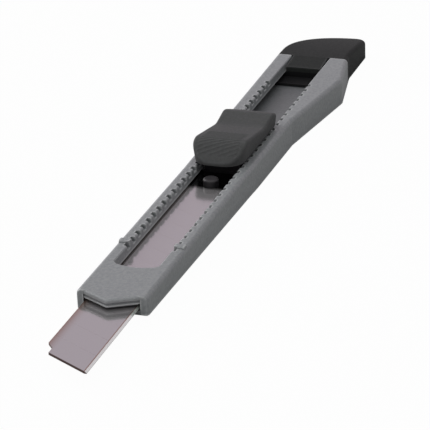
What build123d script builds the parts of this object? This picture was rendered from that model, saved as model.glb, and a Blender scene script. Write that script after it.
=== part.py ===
from build123d import *
import os
from math import atan2, cos, degrees, radians, tan

# Snap-off utility knife. X runs forward to the blade's tip, Y to the cutting edge, Z up to the knob.
# The origin is on the flat underside, below the slot's centre line, where the grip starts to flare.

# Blade: one strip of scored segments
blade_width = 9.0
blade_thickness = 0.4
blade_length = 75.0
segment_length = 5.0
snap_angle = 30.0
bevel_width = 0.5
edge_thickness = 0.06
score_depth = 0.012
hole_setback = 5.4
hole_clearance = 0.15
chip_length = 2.3
chip_run = 1.4
chip_depth = 1.2

# Handle seen from above
shaft_length = 75.8
shaft_half_width = 5.9
spread_start = 25.0
spine_half_width = 6.85
flare_half_width = 6.1
flare_radius = 2.0
heel_setback = 22.1
heel_reach = 9.2
heel_radius = 2.0
seam_setback = 32.5
toe_setback = 35.0
toe_radius = 6.0
beak_setback = 36.5
tail_setback = 48.9
tail_half_width = 6.9
tip_radius = 2.4
nose_corner_radius = 1.6

# Handle seen from the side
handle_thickness = 4.85
nose_thickness = 3.15
nose_taper_length = 56.0
shoulder_radius = 0.8
tail_drop = 1.9
lip_thickness = 1.5
blade_headroom = 0.32
mouth_clearance = 0.2
channel_clearance = 0.15
stop_setback = 17.1
chevron_setback = 0.8
chevron_reach = 2.5
chevron_edge = 0.4
chevron_point = 0.6
chevron_bevel = 0.3
relief_width = 0.4
relief_depth = 0.8
relief_height = 0.3
mouth_bevel = 0.3

# Slot in the top
slot_half_width = 3.8
slot_draft = 0.3
slot_setback = 10.6
slot_bow = 0.9
slot_corner_radius = 1.0
slot_rim = 0.15

# Toothed rails
rack_pitch = 2.5
rack_setback = 18.3
rack_teeth = 31
notch_mouth_half = 0.65
notch_root_half = 0.5
notch_reach = 0.6
notch_depth = 0.75
nub_setback = 0.4
nub_inset = 0.35
nub_length = 1.4
nub_height = 0.35

# Carrier, knob and spring, placed from the notch that the spring sits in
rest_click = 18
peg_lead = 15.0
peg_radius = 1.35
peg_height = 1.3
peg_rounding = 0.35
plate_thickness = 0.75
plate_lead = 2.7
plate_corner_radius = 2.0
slide_clearance = 0.2
run_clearance = 0.1
neck_gap = 0.6
neck_tail = 8.9
post_radius = 1.1
post_length = 1.7
post_clearance = 0.05
post_lead = 5.8
boss_setback = 2.2
boss_wall = 0.5

knob_lead = 12.2
knob_length = 22.5
knob_width = 9.9
knob_offset = 0.2
knob_undercut = 0.45
knob_gap = 0.5
knob_front_corner = 3.4
knob_rear_corner = 2.4
knob_rounding = 0.5
knob_front_height = 0.5
knob_crest_setback = 3.3
knob_crest_height = 3.75
knob_crest_radius = 3.0
knob_valley_setback = 14.4
knob_valley_height = 1.95
knob_valley_radius = 6.0
knob_heel_setback = 19.2
knob_heel_height = 2.8
knob_heel_radius = 2.5
knob_rear_height = 1.6

spring_thickness = 0.3
spring_anchor = 6.0
spring_arm = 2.7
spring_tip = 4.1
spring_tail = 2.3
spring_bend = 0.3
spring_clearance = 0.1

# End cap
plug_length = 5.0
plug_lip_length = 3.7
plug_lip_height = 0.5
plug_clearance = 0.1
facet_drop = 0.5
slit_depth = 7.0
slit_height = 0.8
slit_half_width = 5.0

# Stations along the knife
nose_x = shaft_length
taper_x = nose_x - nose_taper_length
chevron_x = nose_x - chevron_setback
slot_x = nose_x - slot_setback
stop_x = nose_x - stop_setback
rack_x = nose_x - rack_setback
seam_x = -seam_setback
tail_x = -tail_setback
plug_x = seam_x + plug_length
detent_x = rack_x - rest_click * rack_pitch
peg_x = detent_x + peg_lead
blade_rear_x = peg_x - hole_setback
tip_x = blade_rear_x + blade_length
neck_front_x = blade_rear_x - neck_gap
neck_rear_x = detent_x - neck_tail
knob_front_x = detent_x + knob_lead
knob_rear_x = knob_front_x - knob_length
post_xs = (detent_x + post_lead, detent_x - boss_setback)

# Levels above the underside
rail_top = handle_thickness
lip_under = rail_top - lip_thickness
blade_top = lip_under - blade_headroom
blade_bottom = blade_top - blade_thickness
plate_bottom = blade_bottom - plate_thickness
channel_floor = plate_bottom - run_clearance
mouth_floor = blade_bottom - mouth_clearance
nose_sole = rail_top - nose_thickness
knob_seat = rail_top + knob_gap
spring_bottom = rail_top - notch_depth + run_clearance

# Half widths that fit one another
blade_half = blade_width / 2
channel_half = blade_half + channel_clearance
plate_half = channel_half - slide_clearance
slot_foot = slot_half_width - slot_draft
neck_half = slot_foot - slide_clearance
knob_half = knob_width / 2
snap_slope = tan(radians(snap_angle))
overcut = 1.0


def block(low, high):
    """A box between its lowest and highest corner."""
    size = [h - l for l, h in zip(low, high)]
    return Pos(*low) * Box(*size, align=(Align.MIN, Align.MIN, Align.MIN))


def bar(x0, x1, half_width, z0, z1):
    """A box centred on the slot's line."""
    return block((x0, -half_width, z0), (x1, half_width, z1))


def across(face, half_width):
    """Carry a face drawn on the knife's side across its width, centred on the slot's line."""
    side = Plane((0, half_width, 0), x_dir=(1, 0, 0), z_dir=(0, -1, 0))
    return extrude(side * face, 2 * half_width)


def side_profile(points, half_width):
    """A closed outline of straight lines drawn on the knife's side, carried across its width."""
    return across(make_face(Polyline(*points, close=True)), half_width)


def round_corner(face, x, y, radius):
    """Round the corner of a flat outline that is nearest to a point."""
    return fillet(face.vertices().sort_by_distance((x, y, 0))[0], radius)


def handle_outline():
    """The handle from above: straight shaft, flared grip with its heel, and the beak of the tail."""
    spine = Polyline(
        (nose_x, -shaft_half_width),
        (spread_start, -shaft_half_width),
        (-beak_setback, -spine_half_width),
    )
    beak_end = (tail_x, tail_half_width - tip_radius)
    beak = TangentArc((-beak_setback, -spine_half_width), beak_end, tangent=(-1, 0))
    tip = RadiusArc(beak_end, (tail_x + tip_radius, tail_half_width), tip_radius)
    palm = Polyline(
        (tail_x + tip_radius, tail_half_width),
        (-toe_setback, tail_half_width),
        (-heel_setback, heel_reach),
        (0, flare_half_width),
        (spread_start, shaft_half_width),
        (nose_x, shaft_half_width),
        (nose_x, -shaft_half_width),
    )
    face = make_face([spine, beak, tip, palm])
    face = round_corner(face, -toe_setback, tail_half_width, toe_radius)
    face = round_corner(face, -heel_setback, heel_reach, heel_radius)
    face = round_corner(face, 0, flare_half_width, flare_radius)
    for side in (-1, 1):
        face = round_corner(face, nose_x, side * shaft_half_width, nose_corner_radius)
    return face


def handle_blank():
    """Body and cap as one slab: the sole rises to the nose and the top falls to the tail."""
    slab = extrude(handle_outline(), rail_top)
    reach = spine_half_width + heel_reach
    slab -= side_profile(
        [
            (taper_x, 0),
            (nose_x, nose_sole),
            (nose_x + overcut, nose_sole),
            (nose_x + overcut, -overcut),
            (taper_x, -overcut),
        ],
        reach,
    )
    end_x = tail_x - overcut
    fall = TangentArc((seam_x, rail_top), (end_x, rail_top - tail_drop), tangent=(-1, 0))
    above = Polyline(
        (end_x, rail_top - tail_drop),
        (end_x, rail_top + overcut),
        (seam_x, rail_top + overcut),
        (seam_x, rail_top),
    )
    slab -= across(make_face([fall, above]), reach)

    def on_shoulder(edge):
        box = edge.bounding_box()
        across = box.size.X < tip_radius and box.size.Y > tail_half_width
        return box.min.Z > rail_top - tail_drop - overcut / 2 and not across

    return fillet(slab.edges().filter_by(on_shoulder), shoulder_radius)


def half_of_blank(keep):
    """The part of the blank on one side of the seam."""
    return split(handle_blank(), bisect_by=Plane((seam_x, 0, 0), z_dir=(1, 0, 0)), keep=keep)


def slot_cut():
    """The open slot between the rails, with sloping walls and a bowed front edge."""
    rear = seam_x - overcut
    corner = slot_x - slot_draft - slot_bow
    front = ThreePointArc((corner, -slot_foot), (corner + slot_bow, 0), (corner, slot_foot))
    sides = Polyline((corner, slot_foot), (rear, slot_foot), (rear, -slot_foot), (corner, -slot_foot))
    face = make_face([front, sides])
    for side in (-1, 1):
        face = round_corner(face, corner, side * slot_foot, slot_corner_radius)
    slope = degrees(atan2(slot_draft, lip_thickness))
    return extrude(Pos(0, 0, lip_under) * face, lip_thickness, taper=-slope)


def channel_cut():
    """The guide for blade and carrier: deep behind the stop, a narrow mouth ahead of it."""
    front = nose_x + chevron_reach + overcut
    rear = seam_x - overcut
    guide = side_profile(
        [
            (rear, channel_floor),
            (stop_x, channel_floor),
            (stop_x, mouth_floor),
            (front, mouth_floor),
            (front, lip_under),
            (rear, lip_under),
        ],
        channel_half,
    )
    ramp = side_profile(
        [
            (nose_x - mouth_bevel, mouth_floor),
            (nose_x + overcut, mouth_floor),
            (nose_x + overcut, mouth_floor - mouth_bevel - overcut),
        ],
        channel_half,
    )
    return guide + ramp


def nose_bay():
    """The room in front of the chevron, between the two ears of the nose."""
    return bar(chevron_x, nose_x + overcut, channel_half, lip_under, rail_top + overcut)


def chevron():
    """The roof's pointed front edge over the mouth."""
    face = make_face(
        Polyline(
            (chevron_x - overcut, -channel_half),
            (chevron_x, -channel_half),
            (chevron_x + chevron_reach, 0),
            (chevron_x, channel_half),
            (chevron_x - overcut, channel_half),
            close=True,
        )
    )
    face = round_corner(face, chevron_x + chevron_reach, 0, chevron_point)
    roof = extrude(Pos(0, 0, lip_under) * face, lip_thickness)

    def front_edges(solid, level):
        return [e for e in solid.edges().group_by(Axis.Z)[level] if e.center().X > chevron_x]

    roof = fillet(front_edges(roof, -1), chevron_edge)
    return chamfer(front_edges(roof, 0), chevron_bevel)


def mouth_reliefs():
    """The small steps cut into the roof at both ends of the chevron."""
    reliefs = []
    for side in (-1, 1):
        y0 = channel_half - relief_width if side > 0 else -channel_half
        low = (chevron_x - relief_depth, y0, lip_under - overcut / 2)
        high = (chevron_x + chevron_reach, y0 + relief_width, lip_under + relief_height)
        reliefs.append(block(low, high))
    return reliefs


def rail_nubs():
    """A rounded nub on each rail, at the front end of its rack."""
    front = rack_x - nub_setback
    length = shaft_half_width - nub_inset - slot_half_width
    nubs = []
    for side in (-1, 1):
        y0 = slot_half_width if side > 0 else -slot_half_width - length
        low = (front - nub_length, y0, rail_top - nub_height)
        nub = block(low, (front, y0 + length, rail_top + nub_height))
        crown = nub.edges().filter_by(Axis.Y).group_by(Axis.Z)[-1]
        nubs.append(fillet(crown, nub_height))
    return nubs


def rack_cuts():
    """The notches along the slot's upper edges, in pairs."""
    bite = make_face(
        Polyline(
            (-notch_mouth_half, -overcut),
            (-notch_mouth_half, 0),
            (-notch_root_half, notch_reach),
            (notch_root_half, notch_reach),
            (notch_mouth_half, 0),
            (notch_mouth_half, -overcut),
            close=True,
        )
    )
    notch = extrude(Pos(0, 0, rail_top - notch_depth) * bite, rail_top)
    cuts = []
    for tooth in range(rack_teeth):
        x = rack_x - tooth * rack_pitch
        cuts.append(Pos(x, slot_half_width, 0) * notch)
        cuts.append(Pos(x, -slot_half_width, 0) * Rot(0, 0, 180) * notch)
    return cuts


def handle_body():
    """The grey moulding."""
    body = half_of_blank(Keep.TOP) - nose_bay() + chevron() - slot_cut()

    def on_rim(edge):
        box = edge.bounding_box()
        inside = max(box.max.Y, -box.min.Y) < shaft_half_width - shoulder_radius
        return inside and box.min.Z > rail_top - slot_rim and seam_x < edge.center().X < slot_x

    body = chamfer(body.edges().filter_by(on_rim), slot_rim)
    return body + rail_nubs() - [channel_cut(), *mouth_reliefs(), *rack_cuts()]


def end_cap():
    """The black beak: a plug in the end of the channel, and a slit that snaps off blade segments."""
    cap = half_of_blank(Keep.BOTTOM)
    plug_half = channel_half - plug_clearance
    tongue_half = slot_foot - plug_clearance
    plug_roof = lip_under - plug_clearance
    plug_floor = channel_floor + plug_clearance
    plug = bar(seam_x - overcut, plug_x, plug_half, plug_floor, plug_roof)
    lip_x = plug_x + plug_lip_length
    lip = bar(seam_x - overcut, lip_x, plug_half, plug_floor, plug_floor + plug_lip_height)
    tongue = side_profile(
        [
            (seam_x - overcut, plug_roof),
            (plug_x, plug_roof),
            (plug_x, rail_top - facet_drop),
            (seam_x, rail_top),
            (seam_x - overcut, rail_top - facet_drop),
        ],
        tongue_half,
    )
    middle = (rail_top - tail_drop) / 2
    slit_bottom = middle - slit_height / 2
    slit = bar(
        tail_x - overcut, tail_x + slit_depth, slit_half_width, slit_bottom, slit_bottom + slit_height
    )
    return cap + [plug, lip, tongue] - slit


def blade():
    """Scored steel strip with a bevelled cutting edge, a snapped end and a hole for the peg."""
    middle = (blade_top + blade_bottom) / 2
    shoulder = blade_half - bevel_width
    section = make_face(
        Polyline(
            (-blade_half, blade_bottom),
            (-blade_half, blade_top),
            (shoulder, blade_top),
            (blade_half, middle + edge_thickness / 2),
            (blade_half, middle - edge_thickness / 2),
            (shoulder, blade_bottom),
            close=True,
        )
    )
    rear_end = Plane((blade_rear_x, 0, 0), x_dir=(0, 1, 0), z_dir=(1, 0, 0))
    strip = extrude(rear_end * section, blade_length)
    corner_x = tip_x - blade_width * snap_slope
    snapped = make_face(
        Polyline(
            (tip_x + overcut * snap_slope, blade_half + overcut),
            (tip_x + blade_width, blade_half + overcut),
            (tip_x + blade_width, -blade_half - overcut),
            (corner_x - overcut * snap_slope, -blade_half - overcut),
            close=True,
        )
    )
    chip = make_face(
        Polyline(
            (corner_x - chip_length, -blade_half),
            (corner_x - chip_length + chip_run, chip_depth - blade_half),
            (corner_x + chip_length, chip_depth - blade_half),
            (corner_x + chip_length, -blade_half - overcut),
            (corner_x - chip_length, -blade_half - overcut),
            close=True,
        )
    )
    cuts = [extrude(face, handle_thickness) for face in (snapped, chip)]
    base = (Align.CENTER, Align.CENTER, Align.MIN)
    hole = Cylinder(peg_radius + hole_clearance, handle_thickness, align=base)
    cuts.append(Pos(peg_x, 0, 0) * hole)
    vee = [(-score_depth, blade_top), (0, blade_top - score_depth), (score_depth, blade_top)]
    score = side_profile(vee, blade_half / cos(radians(snap_angle)) + overcut)
    x = tip_x - blade_half * snap_slope - segment_length
    last = peg_x + blade_half * snap_slope + peg_radius + hole_clearance
    while x > last:
        cuts.append(Pos(x, 0, 0) * Rot(0, 0, -snap_angle) * score)
        x -= segment_length
    return strip - cuts


def spring_outline():
    """The bent leaf from above: a bar at the rear and two arms that end in pointed tips."""
    one_side = [
        (detent_x - spring_anchor, spring_arm),
        (detent_x - spring_tip + spring_arm, spring_arm),
        (detent_x, spring_tip),
        (detent_x + spring_tip - spring_arm, spring_arm),
        (detent_x + spring_tail, spring_arm),
    ]
    other_side = [(x, -y) for x, y in reversed(one_side)]
    return FilletPolyline(*other_side, *one_side, radius=spring_bend)


def detent_spring():
    """The leaf spring that clicks into both racks."""
    leaf = trace(spring_outline(), spring_thickness)
    return extrude(Pos(0, 0, spring_bottom) * leaf, rail_top - run_clearance - spring_bottom)


def blade_carrier():
    """The plate under the blade with its peg, and the neck that holds the spring and the knob."""
    plate_x = peg_x + plate_lead
    plate = bar(neck_rear_x, plate_x, plate_half, plate_bottom, blade_bottom)
    front_corners = plate.edges().filter_by(Axis.Z).group_by(Axis.X)[-1]
    plate = fillet(front_corners, plate_corner_radius)
    shoe = bar(neck_rear_x, neck_front_x, plate_half, plate_bottom, lip_under - run_clearance)
    neck = bar(neck_rear_x, neck_front_x, neck_half, blade_bottom, knob_seat)
    base = (Align.CENTER, Align.CENTER, Align.MIN)
    peg_top = blade_top + peg_height
    peg = Cylinder(peg_radius, peg_top - blade_bottom, align=base)
    peg = fillet(peg.edges().group_by(Axis.Z)[-1], peg_rounding)
    carrier = plate + shoe + neck + Pos(peg_x, 0, blade_bottom) * peg

    wall = spring_thickness / 2 + spring_clearance
    rear = detent_x - spring_anchor - wall
    front = detent_x + spring_tail + wall
    pocket = bar(rear, front, spring_arm + wall, spring_bottom, knob_seat)
    reach = spring_tip - spring_arm + wall
    window = bar(detent_x - reach, detent_x + reach, neck_half + overcut, spring_bottom, knob_seat)
    boss = Cylinder(post_radius + post_clearance + boss_wall, knob_seat - spring_bottom, align=base)
    carrier = carrier - [pocket, window] + Pos(detent_x - boss_setback, 0, spring_bottom) * boss
    socket_floor = knob_seat - post_length - post_clearance
    socket = Cylinder(post_radius + post_clearance, post_length + overcut, align=base)
    return carrier - [Pos(x, 0, socket_floor) * socket for x in post_xs]


def thumb_knob():
    """The wave-shaped knob, wider above than at its foot, set towards the spine, with two posts below."""
    bends = (
        (knob_crest_setback, knob_crest_height, knob_crest_radius),
        (knob_valley_setback, knob_valley_height, knob_valley_radius),
        (knob_heel_setback, knob_heel_height, knob_heel_radius),
    )
    front_slope = (knob_crest_height - knob_front_height) / knob_crest_setback
    rear_slope = (knob_heel_height - knob_rear_height) / (knob_length - knob_heel_setback)
    wave = [
        (-overcut, knob_front_height - overcut * front_slope),
        *((setback, height) for setback, height, _ in bends),
        (knob_length + overcut, knob_rear_height - overcut * rear_slope),
        (knob_length + overcut, -overcut),
        (-overcut, -overcut),
    ]
    profile = make_face(Polyline(*((knob_front_x - x, knob_seat + z) for x, z in wave), close=True))
    for setback, height, radius in bends:
        profile = round_corner(profile, knob_front_x - setback, knob_seat + height, radius)
    foot_half = knob_half - knob_undercut
    foot = make_face(
        Polyline(
            (knob_rear_x, -foot_half),
            (knob_front_x, -foot_half),
            (knob_front_x, foot_half),
            (knob_rear_x, foot_half),
            close=True,
        )
    )
    for x, radius in ((knob_front_x, knob_front_corner), (knob_rear_x, knob_rear_corner)):
        for side in (-1, 1):
            foot = round_corner(foot, x, side * foot_half, radius)
    lean = degrees(atan2(knob_undercut, knob_crest_height))
    flare = extrude(Pos(0, 0, knob_seat) * foot, knob_crest_height, taper=-lean)
    knob = flare & across(profile, knob_width)

    def on_crown(edge):
        return edge.bounding_box().min.Z > knob_seat + knob_front_height / 4

    knob = Pos(0, -knob_offset, 0) * fillet(knob.edges().filter_by(on_crown), knob_rounding)
    post = Cylinder(post_radius, post_length + overcut, align=(Align.CENTER, Align.CENTER, Align.MIN))
    return knob + [Pos(x, 0, knob_seat - post_length) * post for x in post_xs]


pieces = {
    "handle_body": handle_body,
    "end_cap": end_cap,
    "blade": blade,
    "blade_carrier": blade_carrier,
    "thumb_knob": thumb_knob,
    "detent_spring": detent_spring,
}

os.makedirs("parts", exist_ok=True)
for node, make in pieces.items():
    export_step(make(), f"parts/{node}.step")
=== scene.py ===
import math

import bmesh
import bpy
from bpy.props import FloatProperty, FloatVectorProperty, IntProperty, PointerProperty
from mathutils import Matrix, Vector
from mathutils.bvhtree import BVHTree


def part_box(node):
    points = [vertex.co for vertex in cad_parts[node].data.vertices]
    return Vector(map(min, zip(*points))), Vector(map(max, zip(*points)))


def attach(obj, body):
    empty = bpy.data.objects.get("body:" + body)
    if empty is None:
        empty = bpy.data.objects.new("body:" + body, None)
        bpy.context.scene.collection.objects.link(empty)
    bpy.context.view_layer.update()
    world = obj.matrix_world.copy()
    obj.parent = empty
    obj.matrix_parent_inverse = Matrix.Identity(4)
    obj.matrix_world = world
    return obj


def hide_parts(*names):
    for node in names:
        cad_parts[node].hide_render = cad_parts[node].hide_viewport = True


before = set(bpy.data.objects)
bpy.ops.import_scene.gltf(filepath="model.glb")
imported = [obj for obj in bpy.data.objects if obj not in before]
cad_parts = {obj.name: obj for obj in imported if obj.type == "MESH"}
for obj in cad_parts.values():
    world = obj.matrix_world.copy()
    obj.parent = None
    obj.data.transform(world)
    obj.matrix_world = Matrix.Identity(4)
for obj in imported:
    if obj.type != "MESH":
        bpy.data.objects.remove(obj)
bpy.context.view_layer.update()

bl_info = {
    "name": "Snap-off Utility Knife",
    "version": (1, 0, 0),
    "blender": (4, 5, 0),
    "location": "3D View > Sidebar > Knife",
    "description": "Finishes for a snap-off knife: moulded handle, black slider and cap, polished blade",
    "category": "Object",
}

MM = 0.001

# Slack in every test of where a point of the mesh lies.
NEAR = 0.01 * MM

# Sockets of a colour mix: its share, its two colours and its result.
SHARE, BASE, OVER, MIXED = 0, 6, 7, 2


def linear(hex_colour):
    """Scene-linear RGBA of an sRGB hex colour."""
    channels = [int(hex_colour[i : i + 2], 16) / 255 for i in (0, 2, 4)]
    return [c / 12.92 if c <= 0.04045 else ((c + 0.055) / 1.055) ** 2.4 for c in channels] + [1.0]


WHITE = linear("FFFFFF")


def per_metre(length):
    """Texture scale that repeats a pattern once in a length."""
    return 1.0 / length


def colour_prop(name, description, hex_colour):
    """A colour, given as sRGB hex."""
    return FloatVectorProperty(
        name=name,
        description=description,
        subtype="COLOR",
        size=4,
        min=0.0,
        max=1.0,
        default=linear(hex_colour),
    )


def length_prop(name, description, millimetres):
    """A length, given in millimetres and held in metres."""
    return FloatProperty(
        name=name, description=description, unit="LENGTH", min=0.0, default=millimetres * MM
    )


def angle_prop(name, description, degrees):
    """An angle, given in degrees and held in radians."""
    return FloatProperty(
        name=name, description=description, subtype="ANGLE", default=math.radians(degrees)
    )


def place_prop(name, description, point):
    """A point in the frame, in metres."""
    return FloatVectorProperty(
        name=name, description=description, subtype="TRANSLATION", default=point
    )


def share_prop(name, description, share):
    """A share from 0 to 1."""
    return FloatProperty(
        name=name, description=description, subtype="FACTOR", min=0.0, max=1.0, default=share
    )


def power_prop(name, description, watts):
    """A lamp's power in watts."""
    return FloatProperty(name=name, description=description, unit="POWER", min=0.0, default=watts)


class KnifePlastics(bpy.types.PropertyGroup):
    """Colours and grain of the mouldings, and the channel whose inside is painted darker as painted
    shade.
    """

    handle: colour_prop("Handle", "Grey of the handle's moulding", "8F9293")
    handle_shade: colour_prop(
        "Handle shade", "Darker drift in the grey, where the melt cooled slower", "767A7C"
    )
    black: colour_prop("Black", "Black of the knob", "525353")
    black_shade: colour_prop("Black shade", "Darker drift in the knob's black", "474848")
    cap: colour_prop("Cap", "Black of the end cap", "303231")
    cap_shade: colour_prop("Cap shade", "Darker drift in the cap's black", "282A29")
    carrier: colour_prop("Carrier", "Deeper black of the blade's carrier", "1C1C1D")
    carrier_shade: colour_prop("Carrier shade", "Darker drift in the carrier's black", "151516")
    # The paler edge colours below are partly rubbed wear, partly painted highlight.
    handle_edge: colour_prop("Handle edge", "Paler grey where edges are rubbed", "C0C3C3")
    black_edge: colour_prop("Black edge", "Greyer black where edges are rubbed", "5E5E5F")
    # The two colours below are painted shade for notches, inner corners and the channel's inside.
    handle_painted_shade: colour_prop(
        "Handle grime", "Dust and shade held in the handle's notches and corners", "585B5C"
    )
    black_painted_shade: colour_prop("Black grime", "Shade held in the corners of the black parts", "161617")
    edge: length_prop("Edge", "Width of the rubbed line along an edge", 0.45)
    corner: length_prop("Corner", "How far the grime spreads out of a corner", 1.2)
    rounding: length_prop("Rounding", "Radius that softens every sharp edge", 0.1)
    grain: length_prop(
        "Grain", "Size of the tool's spark-eroded grain, drawn coarse enough to show", 0.5
    )
    drift: length_prop("Drift", "Size of the slow drift in colour", 9.0)
    channel_half: length_prop("Channel half", "Half the width of the handle's channel", 4.68)
    channel_low: length_prop("Channel low", "Level just under the channel's floor", 1.72)
    channel_high: length_prop("Channel high", "Level just over the channel's roof", 3.4)
    channel_rear: length_prop("Channel rear", "How far behind the origin the channel ends", 32.4)
    # Share of the painted shade laid over the channel's inside.
    channel_shade_share: share_prop("Channel soil", "Share of grime inside the channel", 0.8)


class KnifeSteel(bpy.types.PropertyGroup):
    """Colours and marks of the blade and the spring."""

    strip: colour_prop("Strip", "Polished face of the blade", "BBB9BA")
    ground: colour_prop("Ground edge", "Freshly ground bevel", "F1F8F1")
    oxide: colour_prop("Oxide", "Dark film on the snapped end and in the score lines", "5A4844")
    temper: colour_prop("Temper", "Straw-brown tint along the spine and the grind", "9A7F74")
    # Painted shade and a painted dark reflection of the knob, laid black round the carrier's peg.
    painted_peg_shade: colour_prop("Smear", "Black oil and dust held round the carrier's peg", "0E0E0E")
    spring: colour_prop("Spring", "Rolled spring strip", "8F8E8A")
    polish_width: length_prop(
        "Polish width", "Spacing of the polishing lines, drawn coarse enough to show", 0.12
    )
    polish_length: length_prop("Polish length", "Length of one polishing line", 6.0)
    spine_film: length_prop("Spine film", "How far the brown tint fades in from the spine", 2.0)
    end_film: length_prop("End film", "How far the dark film fades in from the snapped end", 0.08)
    grind_line: length_prop("Grind line", "Width of the brown line where the bevel starts", 0.16)
    bevel_width: length_prop("Bevel width", "Width of the ground bevel", 0.5)
    painted_peg_shade_reach: length_prop(
        "Smear reach", "How far the smear runs from the blade's rear end past its hole", 7.6
    )
    painted_peg_shade_fade: length_prop("Smear fade", "Length over which the smear thins out", 1.3)
    end_angle: angle_prop("End angle", "Slant of the snapped end", 30)


class KnifeNose(bpy.types.PropertyGroup):
    """Moulded detail round the blade's mouth, in the frame's own lengths and levels."""

    root: length_prop("Root", "Where the roof's pointed front edge starts, along the knife", 75.0)
    mouth_half: length_prop("Mouth half", "Half the width of the mouth", 4.65)
    roof_under: length_prop("Roof under", "Level of the roof's underside", 3.35)
    ear_reach: length_prop(
        "Ear reach", "How far the ears stand in front of the root before trimming", 0.8
    )
    ear_kept: length_prop("Ear kept", "How far the trimmed ears stand in front of the root", 0.06)
    groove_roof: length_prop(
        "Groove roof", "Level where the groove in the front edge starts", 4.25
    )
    groove_top: length_prop("Groove top", "Upper level of the groove's floor", 4.15)
    groove_bottom: length_prop("Groove bottom", "Lower level of the groove's floor", 3.85)
    groove_sill: length_prop("Groove sill", "Level where the groove ends", 3.68)
    groove_depth: length_prop("Groove depth", "How deep the groove is sunk", 0.28)
    crease: angle_prop("Crease", "Bends sharper than this stay sharp", 32)


class KnifeGrip(bpy.types.PropertyGroup):
    """Fine diagonal ribs on the thumb knob."""

    pitch: length_prop("Pitch", "Distance from rib to rib", 0.6)
    height: length_prop("Height", "How far a rib stands out of the knob", 0.08)
    sunk: length_prop(
        "Sunk", "How far the skin between the ribs lies under the knob's surface", 0.03
    )
    thickness: length_prop("Thickness", "How deep the ribbed skin reaches into the knob", 0.6)
    margin: length_prop("Margin", "Smooth border round the ribs", 0.8)
    reach: length_prop("Reach", "How far the ribs run back from the knob's front", 8.0)
    slant: angle_prop("Slant", "Angle of the ribs to the knife's length", 110)
    steps: IntProperty(name="Steps", description="Mesh steps from rib to rib", default=6, min=4)


class KnifeStage(bpy.types.PropertyGroup):
    """Camera, lights, sky and floor."""

    camera: place_prop("Camera", "Where the camera stands", (0.37911, 0.12483, 0.16293))
    target: place_prop("Target", "Point the camera looks at", (0.037895, 0.004195, 0.0024))
    roll: angle_prop("Roll", "Tilt of the camera about its view", -2.158)
    lens: FloatProperty(name="Lens", description="Focal length", unit="CAMERA", default=199.23)
    floor: colour_prop("Floor", "Pale floor under the knife", "C8C8C8")
    floor_glow: share_prop(
        "Floor glow", "Share of plain white that the camera sees in the floor", 0.975
    )
    floor_in_steel: share_prop(
        "Floor in steel", "Share of plain white that mirrors see in the floor", 0.1
    )
    horizon: FloatProperty(
        name="Horizon", description="Light from low down, all round", min=0.0, default=0.1
    )
    zenith: FloatProperty(
        name="Zenith", description="Light from straight above", min=0.0, default=0.42
    )
    sky_in_steel: colour_prop("Sky in steel", "Tone of the sky that mirrors show", "CEC1CB")
    key: power_prop("Key", "Power of the lamp on the left", 3.5)
    key_place: place_prop("Key place", "Where the left lamp hangs", (-0.32, -0.67, 0.32))
    key_size: length_prop("Key size", "Side of the square left lamp", 500.0)
    fill: power_prop("Fill", "Power of the lamp overhead", 3.3)
    fill_place: place_prop("Fill place", "Where the overhead lamp hangs", (0.29, -0.05, 0.62))
    fill_size: length_prop("Fill size", "Side of the square overhead lamp", 1100.0)


def add(tree, kind, settings=None, links=None):
    """Add one shader node: settings are its properties or input values, links its inputs' sources."""
    made = tree.nodes.new(kind)
    for key, value in (settings or {}).items():
        if isinstance(key, str) and hasattr(made, key):
            setattr(made, key, value)
        else:
            made.inputs[key].default_value = value
    for key, source in (links or {}).items():
        tree.links.new(source, made.inputs[key])
    return made


def new_material(name):
    """An empty node material and its tree."""
    material = bpy.data.materials.new(name)
    material.use_nodes = True
    material.node_tree.nodes.clear()
    return material, material.node_tree


def dress(piece, material):
    """Give a piece or a CAD node its one finish."""
    piece.data.materials.clear()
    piece.data.materials.append(material)


# What the tool's surface gives each moulding: the skin's roughness, its shine, where 0.5 is bare
# plastic and less is a skin dulled by handling, and the depth of its grain.
HANDLE_SKIN = {"roughness": 0.42, "shine": 0.5, "grain_depth": 0.06 * MM}
KNOB_SKIN = {"roughness": 0.55, "shine": 0.07, "grain_depth": 0.02 * MM}
CAP_SKIN = {"roughness": 0.55, "shine": 0.05, "grain_depth": 0.02 * MM}
CARRIER_SKIN = {"roughness": 0.5, "shine": 0.3, "grain_depth": 0.02 * MM}
ROUGHNESS_SPREAD = 0.06
PLASTIC_IOR = 1.53

# Which part of the grain turns to the darker tone, and how much the slow drift adds to it.
SPECKLE = {"From Min": 0.3, "From Max": 0.7, "To Max": 0.7}
DRIFT_SHARE = 0.3

# How open a spot is, from 1 on a flat down to 0, where the paler edge line (rubbed wear and painted
# highlight) or the painted corner shade starts and where it is full.
RUBBING_AND_HIGHLIGHT = {"From Min": 0.9, "From Max": 0.55, "To Max": 0.7}
CORNER_SHADE = {"From Min": 0.85, "From Max": 0.45, "To Max": 0.65}


def mottled_tone(tree, place, grain, colour, shade):
    """The melt's flow lets the colour drift a little, and the grain's pits speckle it."""
    looks = bpy.context.scene.knife_plastics
    drift = add(
        tree,
        "ShaderNodeTexNoise",
        {"Scale": per_metre(looks.drift), "Detail": 2.0},
        {"Vector": place},
    )
    speckle = add(tree, "ShaderNodeMapRange", SPECKLE, {"Value": grain.outputs["Fac"]})
    mottle = add(
        tree,
        "ShaderNodeMath",
        {"operation": "MULTIPLY_ADD", 1: DRIFT_SHARE},
        {0: drift.outputs["Fac"], 2: speckle.outputs["Result"]},
    )
    tint = add(
        tree,
        "ShaderNodeMix",
        {"data_type": "RGBA", BASE: colour, OVER: shade},
        {SHARE: mottle.outputs["Value"]},
    )
    return tint.outputs[MIXED]


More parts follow.
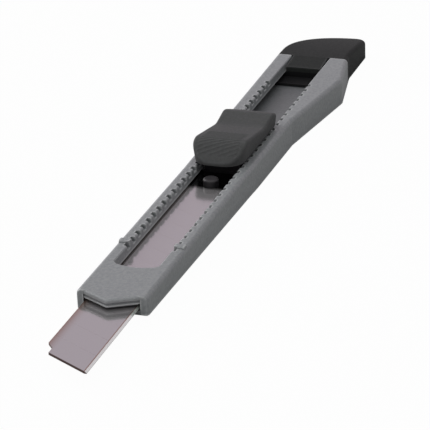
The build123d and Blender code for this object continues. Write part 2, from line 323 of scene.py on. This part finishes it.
def rubbed_and_highlit_edges(tree, tone, edge):
    """A paler line runs along the edges: partly rubbed wear from handling, partly painted highlight."""
    looks = bpy.context.scene.knife_plastics
    depth = add(
        tree,
        "ShaderNodeAmbientOcclusion",
        {"inside": True, "only_local": True, "samples": 8, "Distance": looks.edge},
    )
    # Partly rubbed wear, partly painted highlight: thin spots near edges turn paler.
    rub_and_highlight = add(tree, "ShaderNodeMapRange", RUBBING_AND_HIGHLIGHT, {"Value": depth.outputs["AO"]})
    worn_and_highlit = add(
        tree,
        "ShaderNodeMix",
        {"data_type": "RGBA", OVER: edge},
        {SHARE: rub_and_highlight.outputs["Result"], BASE: tone},
    )
    return worn_and_highlit.outputs[MIXED]


def shade_painted_corners(tree, tone, painted_shade):
    """Painted shade: notches and inner corners are painted darker, the more the part's own surface
    closes them in.
    """
    looks = bpy.context.scene.knife_plastics
    nearby = add(
        tree,
        "ShaderNodeAmbientOcclusion",
        {"only_local": True, "samples": 8, "Distance": looks.corner},
    )
    # Painted shade: the less open a spot, the more of the darker colour it takes.
    held = add(tree, "ShaderNodeMapRange", CORNER_SHADE, {"Value": nearby.outputs["AO"]})
    shade_painted = add(
        tree,
        "ShaderNodeMix",
        {"data_type": "RGBA", OVER: painted_shade},
        {SHARE: held.outputs["Result"], BASE: tone},
    )
    return shade_painted.outputs[MIXED]


def shade_painted_channel(tree, place, tone, painted_shade):
    """Painted shade: what lies inside the channel, between its sides, its floor and roof levels and
    ahead of its rear end, is painted darker.
    """
    looks = bpy.context.scene.knife_plastics
    axes = add(tree, "ShaderNodeSeparateXYZ", {}, {"Vector": place})
    between = add(
        tree,
        "ShaderNodeMath",
        {"operation": "COMPARE", 1: 0.0, 2: looks.channel_half},
        {0: axes.outputs["Y"]},
    )
    middle = (looks.channel_high + looks.channel_low) / 2
    inside = add(
        tree,
        "ShaderNodeMath",
        {"operation": "COMPARE", 1: middle, 2: looks.channel_high - middle},
        {0: axes.outputs["Z"]},
    )
    ahead = add(
        tree,
        "ShaderNodeMath",
        {"operation": "GREATER_THAN", 1: -looks.channel_rear},
        {0: axes.outputs["X"]},
    )
    share = add(
        tree,
        "ShaderNodeMath",
        {"operation": "MULTIPLY", 1: looks.channel_shade_share},
        {0: ahead.outputs["Value"]},
    )
    for limit in (between, inside):
        share = add(
            tree,
            "ShaderNodeMath",
            {"operation": "MULTIPLY"},
            {0: share.outputs["Value"], 1: limit.outputs["Value"]},
        )
    shade_painted = add(
        tree,
        "ShaderNodeMix",
        {"data_type": "RGBA", OVER: painted_shade},
        {SHARE: share.outputs["Value"], BASE: tone},
    )
    return shade_painted.outputs[MIXED]


def moulded_plastic(name, tones, skin, has_channel=False):
    """Injection-moulded plastic. Spark erosion leaves the tool finely pitted, so the skin breaks
    highlights up into a soft satin. Colour drifts a little, and edges carry a paler line, partly
    rubbed wear and partly painted highlight. Corners, and with has_channel the channel's inside, are
    painted darker as painted shade. The tones are the colour, its darker drift, the paler edge and
    the painted shade."""
    colour, shade, edge, painted_shade = tones
    looks = bpy.context.scene.knife_plastics
    material, tree = new_material(name)
    place = add(tree, "ShaderNodeTexCoord").outputs["Object"]
    grain = add(
        tree,
        "ShaderNodeTexNoise",
        {"Scale": per_metre(looks.grain), "Detail": 3.0, "Roughness": 0.6},
        {"Vector": place},
    )
    tone = mottled_tone(tree, place, grain, colour, shade)
    tone = rubbed_and_highlit_edges(tree, tone, edge)
    tone = shade_painted_corners(tree, tone, painted_shade)
    if has_channel:
        tone = shade_painted_channel(tree, place, tone, painted_shade)
    satin = add(
        tree,
        "ShaderNodeMapRange",
        {
            "To Min": skin["roughness"] - ROUGHNESS_SPREAD,
            "To Max": skin["roughness"] + ROUGHNESS_SPREAD,
        },
        {"Value": grain.outputs["Fac"]},
    )
    rounded = add(tree, "ShaderNodeBevel", {"samples": 6, "Radius": looks.rounding})
    pits = add(
        tree,
        "ShaderNodeBump",
        {"Strength": 1.0, "Distance": skin["grain_depth"]},
        {"Height": grain.outputs["Fac"], "Normal": rounded.outputs["Normal"]},
    )
    surface = add(
        tree,
        "ShaderNodeBsdfPrincipled",
        {"IOR": PLASTIC_IOR, "Specular IOR Level": skin["shine"]},
        {
            "Base Color": tone,
            "Roughness": satin.outputs["Result"],
            "Normal": pits.outputs["Normal"],
        },
    )
    add(tree, "ShaderNodeOutputMaterial", {}, {"Surface": surface.outputs["BSDF"]})
    return material


# The strip lies under a thin dull film of oil, so part of its tone shows plainly and isn't mirrored.
BLADE_METALLIC = 0.75
POLISH_ANISOTROPY = 0.6
POLISH_SCRATCHES = {"Strength": 0.06, "Distance": 0.004 * MM}

# Roughness of the polished face, and what the grinding and the film on cut faces add to it.
FACE_GLOSS = {"To Min": 0.11, "To Max": 0.15}
GRINDING_ADDS = 0.1
CUT_ADDS = 0.6

# How level a face is, from 1 for the flat strip, where the film of a cut face starts and is full.
CUT_FILM = {"From Min": 0.95, "From Max": 0.7, "To Max": 0.7}
SPINE_FADE_POWER = 2.0


def temper_share(tree, axes, spine, grind):
    """Share of the brown tint, which fades in towards the spine and lines the start of the grind."""
    looks = bpy.context.scene.knife_steel
    near_spine = add(
        tree,
        "ShaderNodeMapRange",
        {"From Min": spine + looks.spine_film, "From Max": spine},
        {"Value": axes.outputs["Y"]},
    )
    faded = add(
        tree,
        "ShaderNodeMath",
        {"operation": "POWER", 1: SPINE_FADE_POWER},
        {0: near_spine.outputs["Result"]},
    )
    line = add(
        tree,
        "ShaderNodeMath",
        {"operation": "COMPARE", 1: grind, 2: looks.grind_line / 2},
        {0: axes.outputs["Y"]},
    )
    tempered = add(
        tree,
        "ShaderNodeMath",
        {"operation": "MAXIMUM"},
        {0: faded.outputs["Value"], 1: line.outputs["Value"]},
    )
    return tempered.outputs["Value"]


def snapped_share(tree, place, tip):
    """Share of the dark film along the blade's slanted, snapped end."""
    looks = bpy.context.scene.knife_steel
    forward = math.cos(looks.end_angle)
    sideways = -math.sin(looks.end_angle)
    slant = add(
        tree,
        "ShaderNodeVectorMath",
        {"operation": "DOT_PRODUCT", 1: (forward, sideways, 0.0)},
        {0: place},
    )
    end = tip.x * forward + tip.y * sideways
    snapped = add(
        tree,
        "ShaderNodeMapRange",
        {"From Min": end - looks.end_film, "From Max": end},
        {"Value": slant.outputs["Value"]},
    )
    return snapped.outputs["Result"]


def cut_share(tree):
    """Share of the dark film on every face that isn't level: score lines, cut sides and the hole."""
    normal = add(tree, "ShaderNodeNewGeometry").outputs["Normal"]
    facing = add(tree, "ShaderNodeSeparateXYZ", {}, {"Vector": normal})
    level = add(tree, "ShaderNodeMath", {"operation": "ABSOLUTE"}, {0: facing.outputs["Z"]})
    cut = add(tree, "ShaderNodeMapRange", CUT_FILM, {"Value": level.outputs["Value"]})
    return cut.outputs["Result"]


def blade_steel():
    """Carbon tool steel, rolled, polished and slit from a coil. The face mirrors its surroundings,
    blurred across the polishing lines and greyed by a thin film of oil. The bevel is ground bright,
    the spine and the start of the grind are tempered brown, and the snapped end and the score lines
    carry a dark film. The rear end, round the carrier's peg, is painted black: painted shade and a
    painted dark reflection of the knob above it."""
    looks = bpy.context.scene.knife_steel
    low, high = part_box("blade")
    grind = high.y - looks.bevel_width
    painted_peg_shade_end = low.x + looks.painted_peg_shade_reach
    material, tree = new_material("polished_carbon_steel_blade")
    place = add(tree, "ShaderNodeTexCoord").outputs["Object"]
    axes = add(tree, "ShaderNodeSeparateXYZ", {}, {"Vector": place})
    lengthwise = per_metre(looks.polish_length)
    crosswise = per_metre(looks.polish_width)
    along = add(
        tree,
        "ShaderNodeMapping",
        {"Scale": (lengthwise, crosswise, crosswise)},
        {"Vector": place},
    )
    lines = add(
        tree,
        "ShaderNodeTexNoise",
        {"Scale": 1.0, "Detail": 4.0, "Roughness": 0.65},
        {"Vector": along.outputs["Vector"]},
    )
    bevel = add(
        tree, "ShaderNodeMath", {"operation": "GREATER_THAN", 1: grind}, {0: axes.outputs["Y"]}
    )
    cut = cut_share(tree)
    film = add(
        tree,
        "ShaderNodeMath",
        {"operation": "MAXIMUM"},
        {0: snapped_share(tree, place, high), 1: cut},
    )
    # Painted shade: from the rear end to past the peg, the blade turns black under the knob.
    peg_shade_share = add(
        tree,
        "ShaderNodeMapRange",
        {"From Min": painted_peg_shade_end, "From Max": painted_peg_shade_end - looks.painted_peg_shade_fade},
        {"Value": axes.outputs["X"]},
    )
    face = add(
        tree,
        "ShaderNodeMix",
        {"data_type": "RGBA", BASE: looks.strip, OVER: looks.ground},
        {SHARE: bevel.outputs["Value"]},
    )
    tone = face.outputs[MIXED]
    for share, mark in (
        (temper_share(tree, axes, low.y, grind), looks.temper),
        (film.outputs["Value"], looks.oxide),
        (peg_shade_share.outputs["Result"], looks.painted_peg_shade),
    ):
        marked = add(
            tree,
            "ShaderNodeMix",
            {"data_type": "RGBA", OVER: mark},
            {SHARE: share, BASE: tone},
        )
        tone = marked.outputs[MIXED]
    gloss = add(tree, "ShaderNodeMapRange", FACE_GLOSS, {"Value": lines.outputs["Fac"]})
    roughness = gloss.outputs["Result"]
    for share, added in ((bevel.outputs["Value"], GRINDING_ADDS), (cut, CUT_ADDS)):
        rougher = add(
            tree,
            "ShaderNodeMath",
            {"operation": "MULTIPLY_ADD", 1: added},
            {0: share, 2: roughness},
        )
        roughness = rougher.outputs["Value"]
    scratches = add(tree, "ShaderNodeBump", POLISH_SCRATCHES, {"Height": lines.outputs["Fac"]})
    across = add(tree, "ShaderNodeTangent", {"direction_type": "RADIAL", "axis": "X"})
    surface = add(
        tree,
        "ShaderNodeBsdfPrincipled",
        {"Metallic": BLADE_METALLIC, "Anisotropic": POLISH_ANISOTROPY},
        {
            "Base Color": tone,
            "Roughness": roughness,
            "Normal": scratches.outputs["Normal"],
            "Tangent": across.outputs["Tangent"],
        },
    )
    add(tree, "ShaderNodeOutputMaterial", {}, {"Surface": surface.outputs["BSDF"]})
    return material


# Size of the marks that the rolls leave, drawn coarse enough to show, and the sheen they give.
ROLL_MARK = 0.3 * MM
ROLLED_SHEEN = {"To Min": 0.28, "To Max": 0.42}


def spring_steel():
    """Hard-rolled spring steel strip. Rolling leaves a dull grey sheen, mottled by the rolls."""
    looks = bpy.context.scene.knife_steel
    material, tree = new_material("rolled_spring_steel")
    place = add(tree, "ShaderNodeTexCoord").outputs["Object"]
    marks = add(
        tree,
        "ShaderNodeTexNoise",
        {"Scale": per_metre(ROLL_MARK), "Detail": 3.0},
        {"Vector": place},
    )
    sheen = add(tree, "ShaderNodeMapRange", ROLLED_SHEEN, {"Value": marks.outputs["Fac"]})
    surface = add(
        tree,
        "ShaderNodeBsdfPrincipled",
        {"Metallic": 1.0, "Base Color": looks.spring},
        {"Roughness": sheen.outputs["Result"]},
    )
    add(tree, "ShaderNodeOutputMaterial", {}, {"Surface": surface.outputs["BSDF"]})
    return material


def link_mesh(name, mesh):
    """A new object in the scene for a bmesh, which is freed."""
    data = bpy.data.meshes.new(name)
    mesh.to_mesh(data)
    mesh.free()
    made = bpy.data.objects.new(name, data)
    bpy.context.scene.collection.objects.link(made)
    return made


# A face of the roof's front edge looks forward at least this much, and up or down at most this much.
FRONT_FORWARD = 0.5
FRONT_UPWARD = 0.1


def on_roof_front(face, nose):
    """Whether a face lies in the upright front edge of the roof over the mouth."""
    inside = all(
        vert.co.x > nose.root - nose.groove_depth - NEAR
        and abs(vert.co.y) < nose.mouth_half + NEAR
        and vert.co.z > nose.roof_under
        for vert in face.verts
    )
    return inside and face.normal.x > FRONT_FORWARD and abs(face.normal.z) < FRONT_UPWARD


def draw_back_ears(mesh, nose):
    """Draw the ears beside the mouth back to the root, with their roundness kept but flattened."""
    for vert in mesh.verts:
        ahead = vert.co.x - nose.root
        on_roof = abs(vert.co.y) < nose.mouth_half - NEAR and vert.co.z > nose.roof_under - NEAR
        if ahead > 0 and not on_roof:
            vert.co.x = nose.root + nose.ear_kept * (1 - (1 - ahead / nose.ear_reach) ** 2)


def sink_groove(mesh, nose):
    """Sink a groove with sloping sides into the roof's front edge."""
    mesh.normal_update()
    for level in (nose.groove_roof, nose.groove_top, nose.groove_bottom, nose.groove_sill):
        faces = [face for face in mesh.faces if on_roof_front(face, nose)]
        if not faces:
            raise RuntimeError("The roof's front edge isn't where the nose's values put it")
        edges = {edge for face in faces for edge in face.edges}
        verts = {vert for face in faces for vert in face.verts}
        bmesh.ops.bisect_plane(
            mesh,
            geom=[*verts, *edges, *faces],
            dist=NEAR,
            plane_co=(0, 0, level),
            plane_no=(0, 0, 1),
        )
    front = {vert for face in mesh.faces if on_roof_front(face, nose) for vert in face.verts}
    for vert in front:
        if nose.groove_bottom - NEAR < vert.co.z < nose.groove_top + NEAR:
            vert.co.x -= nose.groove_depth


def handle_moulding():
    """The handle with its nose finished: ears drawn back, and a groove along the roof's front edge."""
    nose = bpy.context.scene.knife_nose
    mesh = bmesh.new()
    mesh.from_mesh(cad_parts["handle_body"].data)
    bmesh.ops.remove_doubles(mesh, verts=mesh.verts, dist=NEAR / 10)
    draw_back_ears(mesh, nose)
    sink_groove(mesh, nose)
    for face in mesh.faces:
        face.smooth = True
    bmesh.ops.recalc_face_normals(mesh, faces=mesh.faces)
    handle = link_mesh("handle_moulding", mesh)
    handle.data.attributes.remove(handle.data.attributes["custom_normal"])
    handle.data.set_sharp_from_angle(angle=nose.crease)
    flat = handle.modifiers.new("flat_faces", "WEIGHTED_NORMAL")
    flat.keep_sharp = True
    return handle


# The knob's surface carries ribs where it looks up at least this much.
RIBBED_UPWARD = 0.3


def knob_ribs():
    """A closed skin let into the front of the knob. Its diagonal ribs rise out of the knob's own
    surface and fade at the skin's border, which lies under that surface."""
    grip = bpy.context.scene.knife_grip
    surface = BVHTree.FromObject(
        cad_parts["thumb_knob"], bpy.context.evaluated_depsgraph_get()
    )
    low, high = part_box("thumb_knob")
    step = grip.pitch / grip.steps
    start = high.x - grip.margin - grip.reach
    columns = int(grip.reach / step)
    rows = int((high.y - low.y - 2 * grip.margin) / step)
    mesh = bmesh.new()
    grid = []
    for i in range(columns + 1):
        x = start + i * step
        column = []
        for j in range(rows + 1):
            y = low.y + grip.margin + j * step
            hit, normal, _, _ = surface.ray_cast(Vector((x, y, high.z + MM)), Vector((0, 0, -1)))
            phase = (x * math.sin(grip.slant) - y * math.cos(grip.slant)) / grip.pitch
            ridge = 0.5 + 0.5 * math.cos(2 * math.pi * phase)
            fade = min(1.0, min(i, columns - i, j, rows - j) / grip.steps)
            lift = (grip.height + grip.sunk) * ridge * fade - grip.sunk
            ribbed = hit and normal.z > RIBBED_UPWARD
            column.append(mesh.verts.new(hit + normal * lift) if ribbed else None)
        grid.append(column)
    for rear, front in zip(grid, grid[1:]):
        for corners in zip(rear, rear[1:], front[1:], front):
            if all(corners):
                mesh.faces.new(corners[::-1]).smooth = True
    bmesh.ops.recalc_face_normals(mesh, faces=mesh.faces)
    ribs = link_mesh("knob_ribs", mesh)
    body = ribs.modifiers.new("body", "SOLIDIFY")
    body.thickness = grip.thickness
    body.offset = -1.0
    return ribs


class KNIFE_OT_handle(bpy.types.Operator):
    """Finish the grey handle moulding and its nose"""

    bl_idname = "knife.handle"
    bl_label = "Handle"

    def execute(self, context):
        looks = context.scene.knife_plastics
        # Grey ABS keeps its moulded shine, so its flats catch a soft light.
        tones = (looks.handle, looks.handle_shade, looks.handle_edge, looks.handle_painted_shade)
        grey = moulded_plastic("moulded_grey_abs", tones, HANDLE_SKIN, has_channel=True)
        dress(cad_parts["handle_body"], grey)
        handle = handle_moulding()
        dress(handle, grey)
        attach(handle, "handle")
        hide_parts("handle_body")
        return {"FINISHED"}


class KNIFE_OT_black_parts(bpy.types.Operator):
    """Finish the black mouldings and rib the knob"""

    bl_idname = "knife.black_parts"
    bl_label = "Cap, knob and carrier"

    def execute(self, context):
        looks = context.scene.knife_plastics
        # The knob's black ABS is worn by use to a dull, greyish black.
        tones = (looks.black, looks.black_shade, looks.black_edge, looks.black_painted_shade)
        knob_black = moulded_plastic("moulded_black_abs", tones, KNOB_SKIN)
        dress(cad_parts["thumb_knob"], knob_black)
        # The cap is the same plastic and just as dull; its darker black is painted shade.
        tones = (looks.cap, looks.cap_shade, looks.black, looks.black_painted_shade)
        cap_black = moulded_plastic("moulded_black_cap_abs", tones, CAP_SKIN, has_channel=True)
        dress(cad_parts["end_cap"], cap_black)
        # The carrier's acetal is slick and has a faint sheen; its deepest black is partly its own and
        # partly painted shade under the knob.
        tones = (looks.carrier, looks.carrier_shade, looks.black, looks.black_painted_shade)
        deep_black = moulded_plastic("moulded_black_acetal", tones, CARRIER_SKIN)
        dress(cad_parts["blade_carrier"], deep_black)
        ribs = knob_ribs()
        dress(ribs, knob_black)
        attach(ribs, "slider")
        return {"FINISHED"}


class KNIFE_OT_steel_parts(bpy.types.Operator):
    """Finish the blade and the detent spring"""

    bl_idname = "knife.steel_parts"
    bl_label = "Blade and spring"

    def execute(self, context):
        dress(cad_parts["blade"], blade_steel())
        dress(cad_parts["detent_spring"], spring_steel())
        return {"FINISHED"}


# The floor is wide enough to reach past every view, and lies a hair under the knife.
FLOOR_RADIUS = 3.0
FLOOR_CORNERS = 64
FLOOR_DROP = 0.02 * MM

# Size of the card's fibre clumps, drawn coarse enough to show, and the tones they give.
CARD_FIBRE = 12.0 * MM
CARD_TONES = {"To Min": 0.97, "To Max": 1.0}


def seen_in_mirrors(tree, ray):
    """1 for a ray that a mirror or glass sends on, and 0 for every other."""
    mirrored = add(
        tree,
        "ShaderNodeMath",
        {"operation": "MAXIMUM"},
        {0: ray.outputs["Is Transmission Ray"], 1: ray.outputs["Is Glossy Ray"]},
    )
    return mirrored.outputs["Value"]


def white_card(stage):
    """Matt white card. Its fibres scatter light evenly, so it keeps a faint shadow. The camera sees
    it as almost plain white, and mirrors see mostly its own pale tone."""
    material, tree = new_material("matt_white_card")
    ray = add(tree, "ShaderNodeLightPath")
    # The noise runs over the floor's own box, whose sides are two radii long.
    fibre = add(
        tree,
        "ShaderNodeTexNoise",
        {"Scale": 2 * FLOOR_RADIUS * per_metre(CARD_FIBRE), "Detail": 4.0},
    )
    tone = add(tree, "ShaderNodeMapRange", CARD_TONES, {"Value": fibre.outputs["Fac"]})
    card = add(
        tree,
        "ShaderNodeMix",
        {"data_type": "RGBA", "blend_type": "MULTIPLY", SHARE: 1.0, BASE: stage.floor},
        {OVER: tone.outputs["Result"]},
    )
    matt = add(tree, "ShaderNodeBsdfDiffuse", {}, {"Color": card.outputs[MIXED]})
    glow = add(tree, "ShaderNodeEmission", {"Color": WHITE, "Strength": 1.0})
    reflected = add(
        tree,
        "ShaderNodeMath",
        {"operation": "MULTIPLY", 1: stage.floor_in_steel},
        {0: seen_in_mirrors(tree, ray)},
    )
    share = add(
        tree,
        "ShaderNodeMath",
        {"operation": "MULTIPLY_ADD", 1: stage.floor_glow},
        {0: ray.outputs["Is Camera Ray"], 2: reflected.outputs["Value"]},
    )
    both = add(
        tree,
        "ShaderNodeMixShader",
        {},
        {0: share.outputs["Value"], 1: matt.outputs["BSDF"], 2: glow.outputs["Emission"]},
    )
    add(tree, "ShaderNodeOutputMaterial", {}, {"Surface": both.outputs["Shader"]})
    return material


class KNIFE_OT_stage(bpy.types.Operator):
    """Set up the camera, the lights, the sky and the floor"""

    bl_idname = "knife.stage"
    bl_label = "Stage"

    def execute(self, context):
        stage = context.scene.knife_stage
        self.place_camera(context, stage)
        self.light_sky(context, stage)
        self.hang_lamps(context, stage)
        self.lay_floor(stage)
        context.scene.view_settings.view_transform = "Standard"
        return {"FINISHED"}

    def place_camera(self, context, stage):
        """Camera at the stated point, turned to its target and rolled about its view."""
        data = bpy.data.cameras.new("camera")
        data.lens = stage.lens
        camera = bpy.data.objects.new("camera", data)
        context.scene.collection.objects.link(camera)
        view = Vector(stage.target) - Vector(stage.camera)
        turn = view.to_track_quat("-Z", "Y").to_matrix() @ Matrix.Rotation(stage.roll, 3, "Z")
        camera.matrix_world = Matrix.Translation(stage.camera) @ turn.to_4x4()
        context.scene.camera = camera

    def light_sky(self, context, stage):
        """A soft sky, lighter overhead. The camera sees plain white, and mirrors see one pale tone."""
        world = bpy.data.worlds.new("white_studio")
        world.use_nodes = True
        context.scene.world = world
        tree = world.node_tree
        tree.nodes.clear()
        ray = add(tree, "ShaderNodeLightPath")
        way = add(tree, "ShaderNodeTexCoord").outputs["Generated"]
        height = add(tree, "ShaderNodeSeparateXYZ", {}, {"Vector": way}).outputs["Z"]
        light = add(
            tree,
            "ShaderNodeMapRange",
            {"To Min": stage.horizon, "To Max": stage.zenith},
            {"Value": height},
        )
        tone = add(
            tree,
            "ShaderNodeMix",
            {"data_type": "RGBA", OVER: stage.sky_in_steel},
            {SHARE: seen_in_mirrors(tree, ray), BASE: light.outputs["Result"]},
        )
        shown = add(
            tree,
            "ShaderNodeMix",
            {"data_type": "RGBA", OVER: WHITE},
            {SHARE: ray.outputs["Is Camera Ray"], BASE: tone.outputs[MIXED]},
        )
        sky = add(tree, "ShaderNodeBackground", {"Strength": 1.0}, {"Color": shown.outputs[MIXED]})
        add(tree, "ShaderNodeOutputWorld", {}, {"Surface": sky.outputs["Background"]})

    def hang_lamps(self, context, stage):
        """A soft lamp to the left of the knife, and a larger one overhead."""
        for name, power, place, size in (
            ("left_softbox", stage.key, stage.key_place, stage.key_size),
            ("overhead_softbox", stage.fill, stage.fill_place, stage.fill_size),
        ):
            data = bpy.data.lights.new(name, "AREA")
            data.energy = power
            data.size = size
            lamp = bpy.data.objects.new(name, data)
            context.scene.collection.objects.link(lamp)
            lamp.location = place
            aim = Vector(stage.target) - Vector(place)
            lamp.rotation_euler = aim.to_track_quat("-Z", "Y").to_euler()

    def lay_floor(self, stage):
        """A round of white card under the knife."""
        mesh = bmesh.new()
        bmesh.ops.create_circle(mesh, cap_ends=True, segments=FLOOR_CORNERS, radius=FLOOR_RADIUS)
        bmesh.ops.translate(mesh, verts=mesh.verts, vec=(0, 0, -FLOOR_DROP))
        floor = link_mesh("floor", mesh)
        dress(floor, white_card(stage))


GROUPS = {
    "knife_plastics": KnifePlastics,
    "knife_steel": KnifeSteel,
    "knife_nose": KnifeNose,
    "knife_grip": KnifeGrip,
    "knife_stage": KnifeStage,
}

OPERATORS = (KNIFE_OT_handle, KNIFE_OT_black_parts, KNIFE_OT_steel_parts, KNIFE_OT_stage)


class KNIFE_PT_sidebar(bpy.types.Panel):
    """Sizes, colours and building steps of the knife's looks"""

    bl_idname = "KNIFE_PT_sidebar"
    bl_label = "Utility Knife"
    bl_space_type = "VIEW_3D"
    bl_region_type = "UI"
    bl_category = "Knife"

    def draw(self, context):
        for name in GROUPS:
            group = getattr(context.scene, name)
            box = self.layout.box()
            for key in group.__annotations__:
                box.prop(group, key)
        for operator in OPERATORS:
            self.layout.operator(operator.bl_idname)


def register():
    for kind in (*GROUPS.values(), *OPERATORS, KNIFE_PT_sidebar):
        bpy.utils.register_class(kind)
    for name, group in GROUPS.items():
        setattr(bpy.types.Scene, name, PointerProperty(type=group))


def unregister():
    for name in GROUPS:
        delattr(bpy.types.Scene, name)
    for kind in (KNIFE_PT_sidebar, *reversed(OPERATORS), *reversed(GROUPS.values())):
        bpy.utils.unregister_class(kind)


def main():
    register()
    for operator in OPERATORS:
        category, name = operator.bl_idname.split(".")
        getattr(getattr(bpy.ops, category), name)()


if __name__ == "__main__":
    main()
